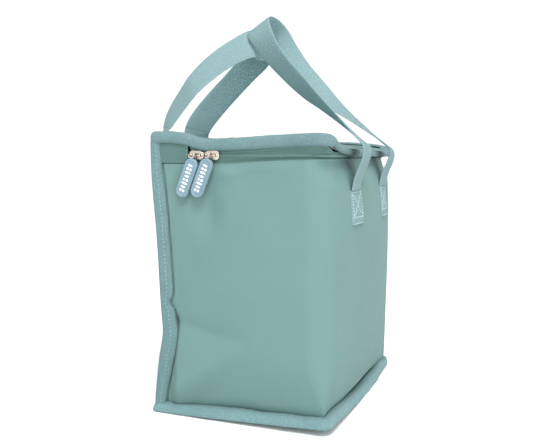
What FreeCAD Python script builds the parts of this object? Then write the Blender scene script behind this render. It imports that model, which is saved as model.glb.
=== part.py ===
"""Soft insulated lunch bag with a zipped lid and two webbing carry handles.

Frame: millimetres, +Z up, origin at the centre of the base on the surface that the bag stands on.
+X runs along the wide faces, the front face looks to -Y and the lid opens at the back (+Y).
Each wall is an outer fabric, a foam core and a lining.  Every piece is a closed solid of its own.
"""
import FreeCAD, Part
import math
import os

# ---- driving dimensions -------------------------------------------------------------------------
WIDTH = 200.0           # bag along X
DEPTH = 145.0           # bag along Y
HEIGHT = 220.0          # base to the top face of the lid
CORNER_R = 18.0         # rounded front corners
FABRIC = 0.6            # outer fabric
OVERCUT = 1.0           # cutting shapes run past the faces that they cut
FOAM = 4.4              # closed-cell foam core
LINING = 0.4            # foil lining
BASE_FABRIC = 0.8       # heavier cloth under the base

BINDING = 1.4           # folded binding tape, proud of the wall
BASE_BINDING_H = 8.0
LID_BINDING_H = 9.0
LID_BINDING_LIP = 7.0   # the part of the lid's binding that lies on its top face
CORNER_BINDING_W = 10.0

WALL_TOP = 205.0        # turned edge of the wall fabric under the zipper
FOAM_TOP = 202.5        # top of the foam and the lining under the zipper
TAPE = 0.6              # zipper tape thickness
COIL = 0.8              # height of one coil
COIL_GAP = 1.0          # slot between the coils, where the sliders' posts run
COIL_Z = 206.6          # middle of the slot
COIL_DEPTH = 1.8        # coil across the tape
PARKED_TAPE_Z = 206.2   # lower end of the fixed stretch behind the parked sliders
CREASE_Y = 39.5         # the lid folds here; the zipper ends here on both sides
CREASE_GAP = 0.3
HINGE_RISE = 1.2        # fold line above the lid's top face
STOP_LENGTH = 1.5       # zipper end stops

SLIDER_LENGTH = 12.5
SLIDER_HEIGHT = 7.4
SLIDER_PLATE = 1.2
SLIDER_CORNER_R = 1.85
SLIDER_CLEARANCE = 0.3
SLIDER_BACK_X = 97.9    # outer face of the slider's inner plate
POST_HEIGHT = 0.8
POST_LENGTH = 2.5
BAIL_REACH = 2.6        # slider face to the middle of the bail
BAIL_BAR = 1.0
BAIL_HEIGHT = 0.8
BAIL_HOLE = 6.0
BAIL_PILLAR = 1.5
PARKED_Y = 33.0         # middle of the rear slider when the bag is closed
RING_OUTER = 2.3
RING_INNER = 1.6
RING_THICK = 1.0
NECK_LENGTH = 0.6       # between the ring and the wide stem
STEM_LENGTH = 9.0
STEM_THICK = 1.2
STEM_WIDTH = 3.0
GRIP_LENGTH = 31.5
GRIP_WIDTH = 11.0
GRIP_THICK = 4.0
GRIP_END_R = 5.3        # the grip's ends are nearly half round
GRIP_TOP = 2.6          # bail to the grip's upper end
PULL_LEAN = 22.0        # degrees, the pulls hang with their lower ends to the back

WEBBING = 25.0          # handle webbing width
WEBBING_T = 1.5
STITCHED_T = 2.0        # stitched strap end with its turned hem
STITCHED_Z = (153.0, 181.0)
FOOT_Z = 184.0          # the loose webbing starts to swing here
FOOT_START = 0.9        # clearance above that line
FOOT_STANDOFF = 3.5     # wall to the webbing's middle at the swing line
BEND_Z = 226.0
LOOP_START = 1.2        # clearance along the loop at its bend
TIP_R = 15.0            # half the loop's width at its tip
LOOP_SECTIONS = 10      # cross-sections of webbing along one strand
TURN_SECTIONS = 8       # cross-sections round the tip
STRAND_TURN = 70.0      # degrees that a strand twists before the tip

FRONT_HANDLE = {"side": -1, "foot_x": 45.0, "bend_y": -88.0, "tip_y": 18.0, "tip_z": 318.0}
BACK_HANDLE = {"side": 1, "foot_x": 45.0, "bend_y": 92.0, "tip_y": 26.0, "tip_z": 302.0}

# ---- worked out from them -----------------------------------------------------------------------
HALF_W = WIDTH / 2
FRONT_Y = -DEPTH / 2
BACK_Y = DEPTH / 2
LID_FABRIC_Z = HEIGHT - FABRIC
LID_FOAM_Z = LID_FABRIC_Z - FOAM
LID_LINING_Z = LID_FOAM_Z - LINING
BASE_FOAM_TOP = BASE_FABRIC + FOAM
BASE_LINING_TOP = BASE_FOAM_TOP + LINING
FOAM_IN = FABRIC + FOAM
LINING_IN = FOAM_IN + LINING
TAPE_IN = FABRIC + TAPE
LOWER_COIL_TOP = COIL_Z - COIL_GAP / 2
UPPER_COIL_BASE = COIL_Z + COIL_GAP / 2
FRONT_PARKED_Y = PARKED_Y - SLIDER_LENGTH - SLIDER_CLEARANCE
PARKED_STRETCH_Y = FRONT_PARKED_Y - SLIDER_LENGTH / 2 - SLIDER_CLEARANCE
SLIDER_FACE_X = HALF_W + SLIDER_CLEARANCE + SLIDER_PLATE
BAIL_X = SLIDER_FACE_X + BAIL_REACH
LID_BINDING_Z = HEIGHT - LID_BINDING_H


def box(x0, x1, y0, y1, z0, z1):
    """A block between two opposite corners."""
    return Part.makeBox(x1 - x0, y1 - y0, z1 - z0, FreeCAD.Vector(x0, y0, z0))


def plan(inset, z0, z1, y_back=BACK_Y):
    """The bag's plan, drawn in by inset, as a prism: square at the back, rounded at the front."""
    half = HALF_W - inset
    prism = box(-half, half, FRONT_Y + inset, y_back, z0, z1)
    corners = []
    for edge in prism.Edges:
        middle = edge.CenterOfMass
        upright = abs(edge.tangentAt(edge.FirstParameter).z) > 0.5
        if upright and middle.y < 0:
            corners.append(edge)
    return prism.makeFillet(CORNER_R - inset, corners)


def wrap(inset, thickness, z0, z1, y_back=BACK_Y):
    """A layer that runs round the two sides and the front, open at the back."""
    outer = plan(inset, z0, z1, y_back)
    inner = plan(inset + thickness, z0 - OVERCUT, z1 + OVERCUT, y_back + OVERCUT)
    return outer.cut(inner)


def slab(inset, z0, z1, y_min=None, y_max=BACK_Y):
    """A flat layer over the plan, between two values of Y."""
    shape = plan(inset, z0, z1, y_max)
    if y_min is None:
        return shape
    return shape.common(box(-WIDTH, WIDTH, y_min, y_max, z0, z1))


def before(shape, y_limit):
    """The part of a shape on the front side of y_limit."""
    bounds = shape.BoundBox
    return shape.common(box(-WIDTH, WIDTH, -DEPTH, y_limit, bounds.ZMin, bounds.ZMax))


def behind(shape, y_limit):
    """The part of a shape on the back side of y_limit."""
    bounds = shape.BoundBox
    return shape.common(box(-WIDTH, WIDTH, y_limit, DEPTH, bounds.ZMin, bounds.ZMax))


def base_and_walls():
    """Outer cloth, foam and lining of the base, the back and the wrapped front and sides."""
    back_foam_y = BACK_Y - FOAM_IN
    back_lining_y = back_foam_y - LINING
    return {
        "base_panel": plan(0.0, 0.0, BASE_FABRIC),
        "base_foam": plan(FABRIC, BASE_FABRIC, BASE_FOAM_TOP, BACK_Y - FABRIC),
        "base_lining": plan(FOAM_IN, BASE_FOAM_TOP, BASE_LINING_TOP, back_foam_y),
        "wrap_panel": wrap(0.0, FABRIC, BASE_FABRIC, WALL_TOP, BACK_Y - FABRIC),
        "wrap_foam": wrap(FABRIC, FOAM, BASE_FOAM_TOP, FOAM_TOP, back_foam_y),
        "wrap_lining": wrap(FOAM_IN, LINING, BASE_LINING_TOP, FOAM_TOP, back_lining_y),
        "back_panel": box(-HALF_W, HALF_W, BACK_Y - FABRIC, BACK_Y, BASE_FABRIC, LID_LINING_Z),
        "back_foam": box(-HALF_W + FABRIC, HALF_W - FABRIC, back_foam_y, BACK_Y - FABRIC,
                         BASE_FOAM_TOP, LID_LINING_Z),
        "back_lining": box(-HALF_W + FOAM_IN, HALF_W - FOAM_IN, back_lining_y, back_foam_y,
                           BASE_LINING_TOP, LID_LINING_Z),
    }


def bindings():
    """Folded tapes over the seams: round the base, up the back corners and round the lid."""
    nodes = {}
    ring = plan(-BINDING, 0.0, BASE_BINDING_H, BACK_Y + BINDING)
    nodes["base_binding"] = ring.cut(plan(0.0, -OVERCUT, BASE_BINDING_H + OVERCUT))
    for name, side in (("left", -1), ("right", 1)):
        outer_x = side * (HALF_W + BINDING)
        inner_x = side * (HALF_W - CORNER_BINDING_W)
        block = box(min(outer_x, inner_x), max(outer_x, inner_x), BACK_Y - CORNER_BINDING_W,
                    BACK_Y + BINDING, BASE_BINDING_H, LID_BINDING_Z)
        hollow = box(-HALF_W, HALF_W, 0.0, BACK_Y, 0.0, HEIGHT)
        nodes["corner_binding_" + name] = block.cut(hollow)
    band = plan(-BINDING, LID_BINDING_Z, HEIGHT + BINDING / 2, BACK_Y + BINDING)
    inside = plan(0.0, LID_BINDING_Z - OVERCUT, HEIGHT)
    opening = plan(LID_BINDING_LIP, HEIGHT - OVERCUT, HEIGHT + BINDING, BACK_Y - LID_BINDING_LIP)
    band = band.cut(inside).cut(opening)
    nodes["lid_binding"] = before(band, CREASE_Y - CREASE_GAP)
    nodes["rear_binding"] = behind(band, CREASE_Y)
    return nodes


def lid_layers():
    """The flat lid and the fixed strip behind its crease: cloth, foam and lining."""
    lid_y = CREASE_Y - CREASE_GAP
    nodes = {}
    layers = (("panel", LID_FABRIC_Z, HEIGHT), ("foam", LID_FOAM_Z, LID_FABRIC_Z),
              ("lining", LID_LINING_Z, LID_FOAM_Z))
    for name, z0, z1 in layers:
        nodes["lid_" + name] = slab(TAPE_IN, z0, z1, None, lid_y)
        nodes["rear_strip_" + name] = slab(TAPE_IN, z0, z1, CREASE_Y, BACK_Y)
    return nodes


def zipper():
    """Both tapes and coils, the stretch under the parked sliders, the end tabs and the stops."""
    coil_in = FABRIC + (TAPE - COIL_DEPTH) / 2
    lower_tape = wrap(FABRIC, TAPE, FOAM_TOP, LOWER_COIL_TOP - COIL, CREASE_Y)
    lower_coil = wrap(coil_in, COIL_DEPTH, LOWER_COIL_TOP - COIL, LOWER_COIL_TOP, CREASE_Y)
    lid_end = CREASE_Y - CREASE_GAP
    upper_tape = wrap(FABRIC, TAPE, UPPER_COIL_BASE + COIL, HEIGHT, lid_end)
    upper_coil = wrap(coil_in, COIL_DEPTH, UPPER_COIL_BASE, UPPER_COIL_BASE + COIL, lid_end)
    parked = box(-WIDTH, 0.0, PARKED_STRETCH_Y, CREASE_Y, PARKED_TAPE_Z, HEIGHT)
    parked_low = box(-WIDTH, 0.0, PARKED_STRETCH_Y - CREASE_GAP, CREASE_Y, FOAM_TOP, LID_BINDING_Z)
    fixed_tape = wrap(FABRIC, TAPE, UPPER_COIL_BASE + COIL, LID_BINDING_Z, CREASE_Y)
    fixed_coil = wrap(coil_in, COIL_DEPTH, UPPER_COIL_BASE, UPPER_COIL_BASE + COIL, CREASE_Y)
    nodes = {
        "zipper_tape_lower": lower_tape,
        "zipper_coil_lower": lower_coil,
        "zipper_tape_upper": upper_tape.cut(parked_low),
        "zipper_coil_upper": upper_coil.cut(parked_low),
        "zipper_tape_parked": fixed_tape.common(parked),
        "zipper_coil_parked": fixed_coil.common(parked),
    }
    tab_y = CREASE_Y + STOP_LENGTH
    for name, side in (("left", -1), ("right", 1)):
        inner = side * (HALF_W - FABRIC)
        outer = side * HALF_W
        nodes["zipper_tab_" + name] = box(min(inner, outer), max(inner, outer), tab_y,
                                          BACK_Y - FABRIC, WALL_TOP, HEIGHT)
        inner = side * (HALF_W - coil_in - COIL_DEPTH)
        outer = side * (HALF_W - coil_in)
        nodes["zipper_stop_" + name] = box(min(inner, outer), max(inner, outer), CREASE_Y, tab_y,
                                           WALL_TOP, UPPER_COIL_BASE + COIL)
    return nodes


def slider(y_middle, post_side):
    """A zipper slider on the left side run: two plates, the post between the coils, the bail."""
    y0 = y_middle - SLIDER_LENGTH / 2
    y1 = y_middle + SLIDER_LENGTH / 2
    z0 = COIL_Z - SLIDER_HEIGHT / 2
    z1 = COIL_Z + SLIDER_HEIGHT / 2
    face = box(-SLIDER_FACE_X, -SLIDER_FACE_X + SLIDER_PLATE, y0, y1, z0, z1)
    back = box(-SLIDER_BACK_X, -SLIDER_BACK_X + SLIDER_PLATE, y0, y1, z0, z1)
    shoulders = []
    for plate in (face, back):
        corners = [e for e in plate.Edges if abs(e.tangentAt(e.FirstParameter).x) > 0.5]
        shoulders.append(plate.makeFillet(SLIDER_CORNER_R, corners))
    post_y = y_middle + post_side * (SLIDER_LENGTH / 2 - POST_LENGTH)
    post = box(-SLIDER_FACE_X + SLIDER_PLATE / 2, -SLIDER_BACK_X + SLIDER_PLATE / 2,
               post_y - POST_LENGTH / 2, post_y + POST_LENGTH / 2,
               COIL_Z - POST_HEIGHT / 2, COIL_Z + POST_HEIGHT / 2)
    reach = BAIL_HOLE / 2 + BAIL_PILLAR
    arch = box(-BAIL_X - BAIL_BAR / 2, -SLIDER_FACE_X + SLIDER_PLATE / 2, y_middle - reach,
               y_middle + reach, COIL_Z - BAIL_HEIGHT / 2, COIL_Z + BAIL_HEIGHT / 2)
    hole = box(-BAIL_X + BAIL_BAR / 2, -SLIDER_FACE_X, y_middle - BAIL_HOLE / 2,
               y_middle + BAIL_HOLE / 2, z0, z1)
    return shoulders[0].fuse([shoulders[1], post, arch.cut(hole)]).removeSplitter()


def hang(shape, y_middle):
    """Lean a pull piece back and hang it on the bail of the slider at y_middle."""
    shape.rotate(FreeCAD.Vector(0, 0, 0), FreeCAD.Vector(1, 0, 0), PULL_LEAN)
    shape.translate(FreeCAD.Vector(-BAIL_X, y_middle, COIL_Z))
    return shape


def pull_link():
    """Metal ring round the bail with a flat stem, built hanging straight down from the origin."""
    across = FreeCAD.Vector(0, 1, 0)
    start = FreeCAD.Vector(0, -RING_THICK / 2, 0)
    ring = Part.makeCylinder(RING_OUTER, RING_THICK, start, across)
    middle = (RING_INNER + RING_OUTER) / 2
    stem = box(-STEM_THICK / 2, STEM_THICK / 2, -STEM_WIDTH / 2, STEM_WIDTH / 2,
               -STEM_LENGTH, -RING_OUTER - NECK_LENGTH)
    neck = box(-STEM_THICK / 2, STEM_THICK / 2, -RING_THICK / 2, RING_THICK / 2,
               -RING_OUTER - NECK_LENGTH, -middle)
    hole = Part.makeCylinder(RING_INNER, RING_THICK, start, across)
    return ring.fuse([neck, stem]).cut(hole).removeSplitter()


def pull_grip():
    """Moulded rubber capsule over the link's stem, built hanging straight down."""
    top = -GRIP_TOP
    bottom = -GRIP_TOP - GRIP_LENGTH
    grip = box(-GRIP_THICK / 2, GRIP_THICK / 2, -GRIP_WIDTH / 2, GRIP_WIDTH / 2, bottom, top)
    ends = [e for e in grip.Edges if abs(e.tangentAt(e.FirstParameter).x) > 0.5]
    grip = grip.makeFillet(GRIP_END_R, ends)
    return grip.cut(pull_link())


def strap_end(handle, side):
    """One end of the webbing, box-stitched flat to the front or the back panel."""
    wall = handle["side"] * DEPTH / 2
    face = wall + handle["side"] * STITCHED_T
    x_middle = side * handle["foot_x"]
    return box(x_middle - WEBBING / 2, x_middle + WEBBING / 2, min(wall, face), max(wall, face),
               STITCHED_Z[0], STITCHED_Z[1])


def swing_line(handle):
    """Y and Z of the line about which a handle's feet swing."""
    return handle["side"] * (DEPTH / 2 + FOOT_STANDOFF), FOOT_Z


def strap_foot(handle, side):
    """The loose webbing between the stitching and the bend over the rim."""
    y0, z0 = swing_line(handle)
    along = FreeCAD.Vector(0, handle["bend_y"] - y0, BEND_Z - z0)
    length = along.Length
    along.normalize()
    plate = box(-WEBBING / 2, WEBBING / 2, -WEBBING_T / 2, WEBBING_T / 2,
                FOOT_START, length - LOOP_START)
    plate.rotate(FreeCAD.Vector(0, 0, 0), FreeCAD.Vector(1, 0, 0),
                 -math.degrees(math.atan2(along.y, along.z)))
    plate.translate(FreeCAD.Vector(side * handle["foot_x"], y0, z0))
    return plate


def section(centre, tangent, across):
    """A webbing cross-section: a thin rectangle square to the tangent."""
    across = across - tangent * tangent.dot(across)
    across.normalize()
    normal = tangent.cross(across)
    corners = []
    for u, v in ((-1, -1), (1, -1), (1, 1), (-1, 1)):
        corners.append(centre + across * (u * WEBBING / 2) + normal * (v * WEBBING_T / 2))
    return Part.makePolygon(corners + [corners[0]])


def handle_loop(handle):
    """The carry loop: two strands that turn on edge as they rise and meet in a round tip."""
    bend = FreeCAD.Vector(0, handle["bend_y"], BEND_Z)
    rise = FreeCAD.Vector(0, handle["tip_y"], handle["tip_z"]) - bend
    length = rise.Length
    rise.normalize()
    x_axis = FreeCAD.Vector(1, 0, 0)
    edge_up = x_axis.cross(rise) * handle["side"] * -1
    strand = length - TIP_R - LOOP_START
    narrowing = handle["foot_x"] - TIP_R
    places = []
    for i in range(LOOP_SECTIONS):
        t = i / LOOP_SECTIONS
        x = -handle["foot_x"] + narrowing * t * t * (3.0 - 2.0 * t)
        slope = x_axis * (narrowing * 6.0 * t * (1.0 - t)) + rise * strand
        places.append((x, LOOP_START + strand * t, slope, STRAND_TURN * t))
    for i in range(TURN_SECTIONS // 2 + 1):
        angle = math.radians(180.0 * i / TURN_SECTIONS)
        slope = x_axis * math.sin(angle) + rise * math.cos(angle)
        turn = STRAND_TURN + (90.0 - STRAND_TURN) * 2 * i / TURN_SECTIONS
        places.append((-TIP_R * math.cos(angle), length - TIP_R + TIP_R * math.sin(angle), slope, turn))
    mirrored = []
    for x, s, slope, turn in reversed(places[:-1]):
        back = FreeCAD.Vector(slope.x, -slope.y, -slope.z)
        mirrored.append((-x, s, back, 180.0 - turn))
    wires = []
    for x, s, slope, turn in places + mirrored:
        slope.normalize()
        across = x_axis * -math.cos(math.radians(turn)) + edge_up * math.sin(math.radians(turn))
        wires.append(section(bend + rise * s + x_axis * x, slope, across))
    return Part.makeLoft(wires, True, True)


def handles():
    """Both handles: stitched ends, feet and loops."""
    nodes = {}
    for name, handle in (("front", FRONT_HANDLE), ("back", BACK_HANDLE)):
        for side_name, side in (("left", -1), ("right", 1)):
            nodes[name + "_strap_end_" + side_name] = strap_end(handle, side)
            nodes[name + "_strap_foot_" + side_name] = strap_foot(handle, side)
        nodes[name + "_handle_loop"] = handle_loop(handle)
    return nodes


def sliders_and_pulls():
    """Two sliders, nose to nose at the back of the left side, each with its pull."""
    nodes = {}
    for name, y_middle, post_side in (("rear", PARKED_Y, 1), ("front", FRONT_PARKED_Y, -1)):
        nodes["slider_" + name] = slider(y_middle, post_side)
        nodes["pull_link_" + name] = hang(pull_link(), y_middle)
        nodes["pull_grip_" + name] = hang(pull_grip(), y_middle)
    return nodes


def main():
    nodes = {}
    for group in (base_and_walls(), bindings(), lid_layers(), zipper(), sliders_and_pulls(), handles()):
        nodes.update(group)
    os.makedirs("parts", exist_ok=True)
    for name, shape in nodes.items():
        if not shape.isValid():
            raise ValueError(name + " is not a valid solid")
        shape.exportStep(os.path.join("parts", name + ".step"))
        print(name, len(shape.Solids), "solid(s)", round(shape.Volume), "mm3")


main()
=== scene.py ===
"""Looks of a soft insulated lunch bag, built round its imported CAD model.

Lengths are millimetres in the CAD frame, and make_mesh() turns them into metres.
A wall point is named by s, which runs round the plan, and by its height z.
"""

import math

import bmesh
import bpy
import numpy as np
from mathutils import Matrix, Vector


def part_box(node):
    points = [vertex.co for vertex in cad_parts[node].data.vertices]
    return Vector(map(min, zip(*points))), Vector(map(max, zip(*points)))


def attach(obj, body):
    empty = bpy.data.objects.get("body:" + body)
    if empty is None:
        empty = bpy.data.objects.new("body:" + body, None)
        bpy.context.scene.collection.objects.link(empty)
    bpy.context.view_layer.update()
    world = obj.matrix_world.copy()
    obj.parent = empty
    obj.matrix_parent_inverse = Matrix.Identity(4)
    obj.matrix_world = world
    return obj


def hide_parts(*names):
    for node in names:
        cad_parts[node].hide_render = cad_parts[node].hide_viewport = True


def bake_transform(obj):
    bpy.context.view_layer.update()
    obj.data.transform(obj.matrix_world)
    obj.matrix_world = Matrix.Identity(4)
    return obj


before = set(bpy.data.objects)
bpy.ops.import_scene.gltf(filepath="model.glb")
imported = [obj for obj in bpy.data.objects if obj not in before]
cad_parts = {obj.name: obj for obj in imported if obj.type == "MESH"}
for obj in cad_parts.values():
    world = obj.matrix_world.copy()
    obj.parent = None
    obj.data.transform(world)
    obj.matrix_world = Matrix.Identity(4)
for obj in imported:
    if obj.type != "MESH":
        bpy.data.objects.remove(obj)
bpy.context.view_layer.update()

MM = 0.001


def box_mm(node):
    """Lowest and highest corner of a CAD node, in millimetres."""
    low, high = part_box(node)
    return np.array(low) / MM, np.array(high) / MM


# ---- sizes from the frame ----
wrap_low, wrap_high = box_mm("wrap_panel")
back_low, back_high = box_mm("back_panel")
coil_low, coil_high = box_mm("zipper_coil_lower")
upper_coil_low, upper_coil_high = box_mm("zipper_coil_upper")
foam_high = box_mm("wrap_foam")[1]
lid_high = box_mm("lid_panel")[1]

HALF_W = wrap_high[0]
FRONT_Y = wrap_low[1]
BACK_Y = back_high[1]
WALL_TOP = wrap_high[2]
LID_TOP = lid_high[2]
LID_BOTTOM = box_mm("lid_foam")[0][2]
CREASE_Y = lid_high[1]
PARKED_Y = box_mm("zipper_tape_parked")[0][1]
UPPER_TAPE_Z = box_mm("zipper_tape_upper")[0][2]
LOWER_TAPE_TOP = box_mm("zipper_tape_lower")[1][2]
WALL = HALF_W - box_mm("wrap_lining")[1][0]
LINING = box_mm("base_lining")[1][2] - box_mm("base_lining")[0][2]
BASE_TOP = box_mm("base_foam")[1][2]
CORNER_R = 18.0

# ---- how the soft bag departs from its plain shape ----
SWELL = {"front": 9.5, "back": 3.5, "side": 4.6}
BASE_CORNER_R = 4.5
LID_CORNER_R = 10.0
RIM_TUCK = 4.0          # the front corners of the rim sit back under the lid
LID_CROWN = 1.6
LID_INSET = 1.6         # from the edge of the lid's tape to the edge of its pad
BASE_LIFT = 5.2         # the front left corner of the base curls up this far
SEAM_Z = 6.0            # where the walls turn in over the seam of the base
ROLL_DEPTH = {"front": 5.6, "back": 5.0, "side": 5.8}   # how far the foot of a wall turns in

# Curves through (place, value) knots: heights z run up a wall, x and y along it.
SEAM_BOW = ((0, 0.4), (16, 1.8), (45, 5.4), (66, 8.9), (83, 7.7), (141, 4.6), (198, 0.4), (230, 0.0))
LEFT_EDGE = ((-73, 0.4), (-60, 0.0), (-34, -0.6), (-21, -1.4), (6, -2.5), (20, -2.9), (28, -2.6), (34, -1.2),
             (42, 1.3), (53, 2.8), (67, 3.2))
FRONT_EDGE = ((-100, 0.4), (-92, -1.0), (-83, -4.4), (-69, -7.4), (-53, -8.8), (-35, -9.3), (20, -10.2),
              (59, -10.9), (86, -9.5), (100, -7.5))
SIDE_ROLL = ((-70, 34), (-40, 46), (-6, 60), (44, 27), (62, 13), (73, 8))
FRONT_ROLL = ((-100, 30), (-64, 49), (-17, 95), (40, 110), (100, 116))
RIM_FOLD = ((-70, 0.3), (-51, 0.3), (-19, 1.8), (13, 3.9), (40, 4.3), (72, 4.3))
TAPE_WIDTH = ((3, 6.8), (6, 7.1), (30, 10.4), (52, 12.9), (76, 10.9), (85, 9.8), (90, 6.6), (95, 9.2),
              (110, 10.0), (140, 9.5), (183, 9.1), (203, 7.4), (218, 7.0))
SIDE_RISE = ((6, -0.3), (12, 0.1), (24, 0.5), (45, 0.9), (75, 1.0), (130, 0.75), (180, 0.3), (205, 0.0))
FRONT_RISE = ((6, -0.3), (12, 0.15), (25, 0.55), (60, 0.93), (110, 1.0), (167, 0.84), (190, 0.45), (205, 0.0))
BACK_RISE = ((6, 0.0), (40, 0.8), (110, 1.0), (180, 0.5), (212, 0.0))

# Creases of the panels: start, end, height, and the width on the left and on the right.
LEFT_FOLDS = (((50, 75), (16, 68), -2.0, 6.0, 3.5), ((18, 68), (-6, 66), -1.0, 7.0, 4.0),
              ((14, 184), (-12, 192), -1.5, 2.5, 3.0), ((-12, 193), (-38, 195), -0.8, 3.0, 4.0))
RIGHT_FOLDS = (((46, 40), (-20, 78), 2.0, 18.0, 14.0), ((-30, 160), (20, 186), -1.0, 8.0, 8.0))
FRONT_FOLDS = (((-96, 32), (-17, 95), 1.2, 14.0, 12.0),)
BACK_FOLDS = (((-80, 30), (-10, 64), 1.4, 14.0, 12.0), ((84, 60), (20, 110), 1.2, 16.0, 12.0))
# Bumps and dents of the left panel: y, z, reach along and up, height.
LEFT_BUMPS = ((54, 75, 3.5, 6, -3.4), (9, 193, 9, 6, 2.0), (-32, 197, 18, 7, 1.4), (24, 166, 11, 19, -4.2))

# ---- tapes, zipper and webbing ----
TACK_Y = -48.0          # where the thread of the lid's tape is tied off
ZIP_GAP = 5.6           # the lid's zipper tape ends this far under the top of the lid
ZIP_SLANT = 1.3         # and leans out this far
COIL_PITCH = 0.8
GRIP_LEAN = math.radians(22.0)
GRIP_HALF_W = 5.5
FOOT_TOP = box_mm("front_strap_end_left")[1][2] - 1.5
WEB_HALF = 12.5
WEB_THICK = 1.5
RIB_PITCH = 1.7
FOOT_BEND = {"front": 36.0, "back": 46.0}   # height above the lowest point of a handle's foot part where the foot piece ends and the loop begins

# ---- view, in metres ----
CAMERA_AZIMUTH = math.radians(22.24)
CAMERA_ELEVATION = math.radians(5.43)
CAMERA_DISTANCE = 0.5953
CAMERA_TARGET = Vector((-0.040, 0.0, 0.1513))
LIT_POINT = Vector((0.0, 0.0, 0.12))


# ---- shape helpers ----
def ramp(value, start, end):
    """0 before start, 1 after end, smooth between."""
    t = np.clip((value - start) / (end - start), 0.0, 1.0)
    return t * t * (3.0 - 2.0 * t)


def band(value, start, full, fading, end):
    """1 between full and fading, 0 before start and after end."""
    return ramp(value, start, full) * (1.0 - ramp(value, fading, end))


def hump(value, centre, width):
    """A soft bump of height 1."""
    return np.exp(-((value - centre) / width) ** 2)


def curve(value, knots):
    """A smooth curve through (place, height) knots, level beyond the ends."""
    places = np.array([k[0] for k in knots], float)
    heights = np.array([k[1] for k in knots], float)
    slopes = np.gradient(heights, places)
    v = np.clip(value, places[0], places[-1])
    i = np.clip(np.searchsorted(places, v, side="right") - 1, 0, len(places) - 2)
    step = places[i + 1] - places[i]
    t = (v - places[i]) / step
    a = (2 * t**3 - 3 * t**2 + 1) * heights[i] + (t**3 - 2 * t**2 + t) * step * slopes[i]
    b = (-2 * t**3 + 3 * t**2) * heights[i + 1] + (t**3 - t**2) * step * slopes[i + 1]
    return a + b


def ripple(u, v, length, seed):
    """Irregular gentle waves, from -1 to 1, of about one wavelength."""
    total = 0.0
    for k in range(5):
        angle = seed + 2.4 * k
        pitch = length * (0.7 + 0.17 * k)
        total = total + np.sin((u * math.cos(angle) + v * math.sin(angle)) * math.tau / pitch + seed * k)
    return total / 5.0


def line_distance(u, v, start, end):
    """Signed distance to a line, positive on its left, and how far along it, 0 to 1."""
    du, dv = end[0] - start[0], end[1] - start[1]
    length = math.hypot(du, dv)
    along = ((u - start[0]) * du + (v - start[1]) * dv) / length**2
    across = ((v - start[1]) * du - (u - start[0]) * dv) / length
    return across, along


def crease(u, v, start, end, height, left, right, fade=0.25):
    """A ridge (or valley, if height is negative) along a line, with its own width on each side."""
    across, along = line_distance(u, v, start, end)
    width = np.where(across > 0, left, right)
    ends = band(along, -fade, fade, 1.0 - fade, 1.0 + fade)
    return height * ends * np.exp(-np.sqrt(across**2 + 1.0) / width)


def spline(points, count):
    """Samples of a smooth quadratic B-spline that starts and ends at its end points."""
    points = np.asarray(points, float)
    spans = len(points) - 2
    t = np.linspace(0.0, spans, count)
    i = np.clip(t.astype(int), 0, spans - 1)
    f = (t - i)[:, None]
    a = np.where((i == 0)[:, None], points[i], (points[i] + points[i + 1]) / 2)
    last = (i == spans - 1)[:, None]
    c = np.where(last, points[i + 2], (points[i + 1] + points[i + 2]) / 2)
    return (1 - f) ** 2 * a + 2 * f * (1 - f) * points[i + 1] + f**2 * c


# ---- the bag's form ----
def outline(s, offset, front_r, back_r=0.5):
    """Plan of the bag: s runs 0 to 8 from the back left corner, by way of the front, round to it again.

    Odd spans are the corners.  Returns x, y and the outward direction.
    """
    s = np.mod(s, 8.0)
    span = s.astype(int)
    t = s - span
    quarter = t * math.pi / 2
    radius = np.where(span < 4, front_r, back_r) + 0.0 * s
    reach = np.maximum(radius + offset, 0.25)
    front = FRONT_Y + front_r
    back = BACK_Y - back_r
    front_x = HALF_W - front_r
    back_x = HALF_W - back_r
    sin, cos = np.sin(quarter), np.cos(quarter)
    zero = 0.0 * s
    choices = [
        (zero - HALF_W - offset, back + (front - back) * t, zero - 1, zero),
        (-front_x - reach * cos, front - reach * sin, -cos, -sin),
        (-front_x + 2 * front_x * t, zero + FRONT_Y - offset, zero, zero - 1),
        (front_x + reach * sin, front - reach * cos, sin, -cos),
        (zero + HALF_W + offset, front + (back - front) * t, zero + 1, zero),
        (back_x + reach * cos, back + reach * sin, cos, sin),
        (back_x - 2 * back_x * t, zero + BACK_Y + offset, zero, zero + 1),
        (-back_x - reach * sin, back + reach * cos, -sin, cos),
    ]
    return [np.select([span == k for k in range(8)], [c[n] for c in choices]) for n in range(4)]


def seam_shift(x, y, z):
    """How far the sagging back drags a point towards the front."""
    middle = 0.45 + 0.55 * np.clip(np.abs(x) / HALF_W, 0, 1) ** 2
    return -curve(z, SEAM_BOW) * ramp(y, 0.0, BACK_Y - 6.0) * middle


def base_lift(x, y):
    """How far the base is curled up off the table."""
    return BASE_LIFT * np.clip((60.0 - y) / 134.0, 0.0, 1.0) ** 1.2 * (1.0 - ramp(x, -105.0, 0.0))


def roll_in(z, reach, depth):
    """How far a wall turns in below a crease that is reach above the seam of the base."""
    left_over = 1.0 - (z - SEAM_Z) / reach
    below = np.clip(0.5 * (left_over + np.sqrt(left_over**2 + 0.012)), 0.0, 1.0)
    return depth * (reach / 60.0) ** 0.35 * (0.35 * below + 0.65 * (1.0 - np.sqrt(1.0 - below**2)))


def facet(y, z):
    """The flat three-cornered face of the left panel, which leans out above its lower crease."""
    top = 64.0 + (y + 8.0) * (12.0 / 58.0)
    ridge = 62.0 - (y + 8.0) * (34.0 / 52.0)
    depth = np.maximum(top - ridge, 0.0)
    above = np.clip((top - z) / np.maximum(depth, 1.0), 0.0, 1.0)
    below = 1.0 - ramp(ridge - z, 0.0, 26.0)
    return 0.17 * depth * np.where(z > ridge, above, below) * (1.0 - ramp(y, 48.0, 60.0))


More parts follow.
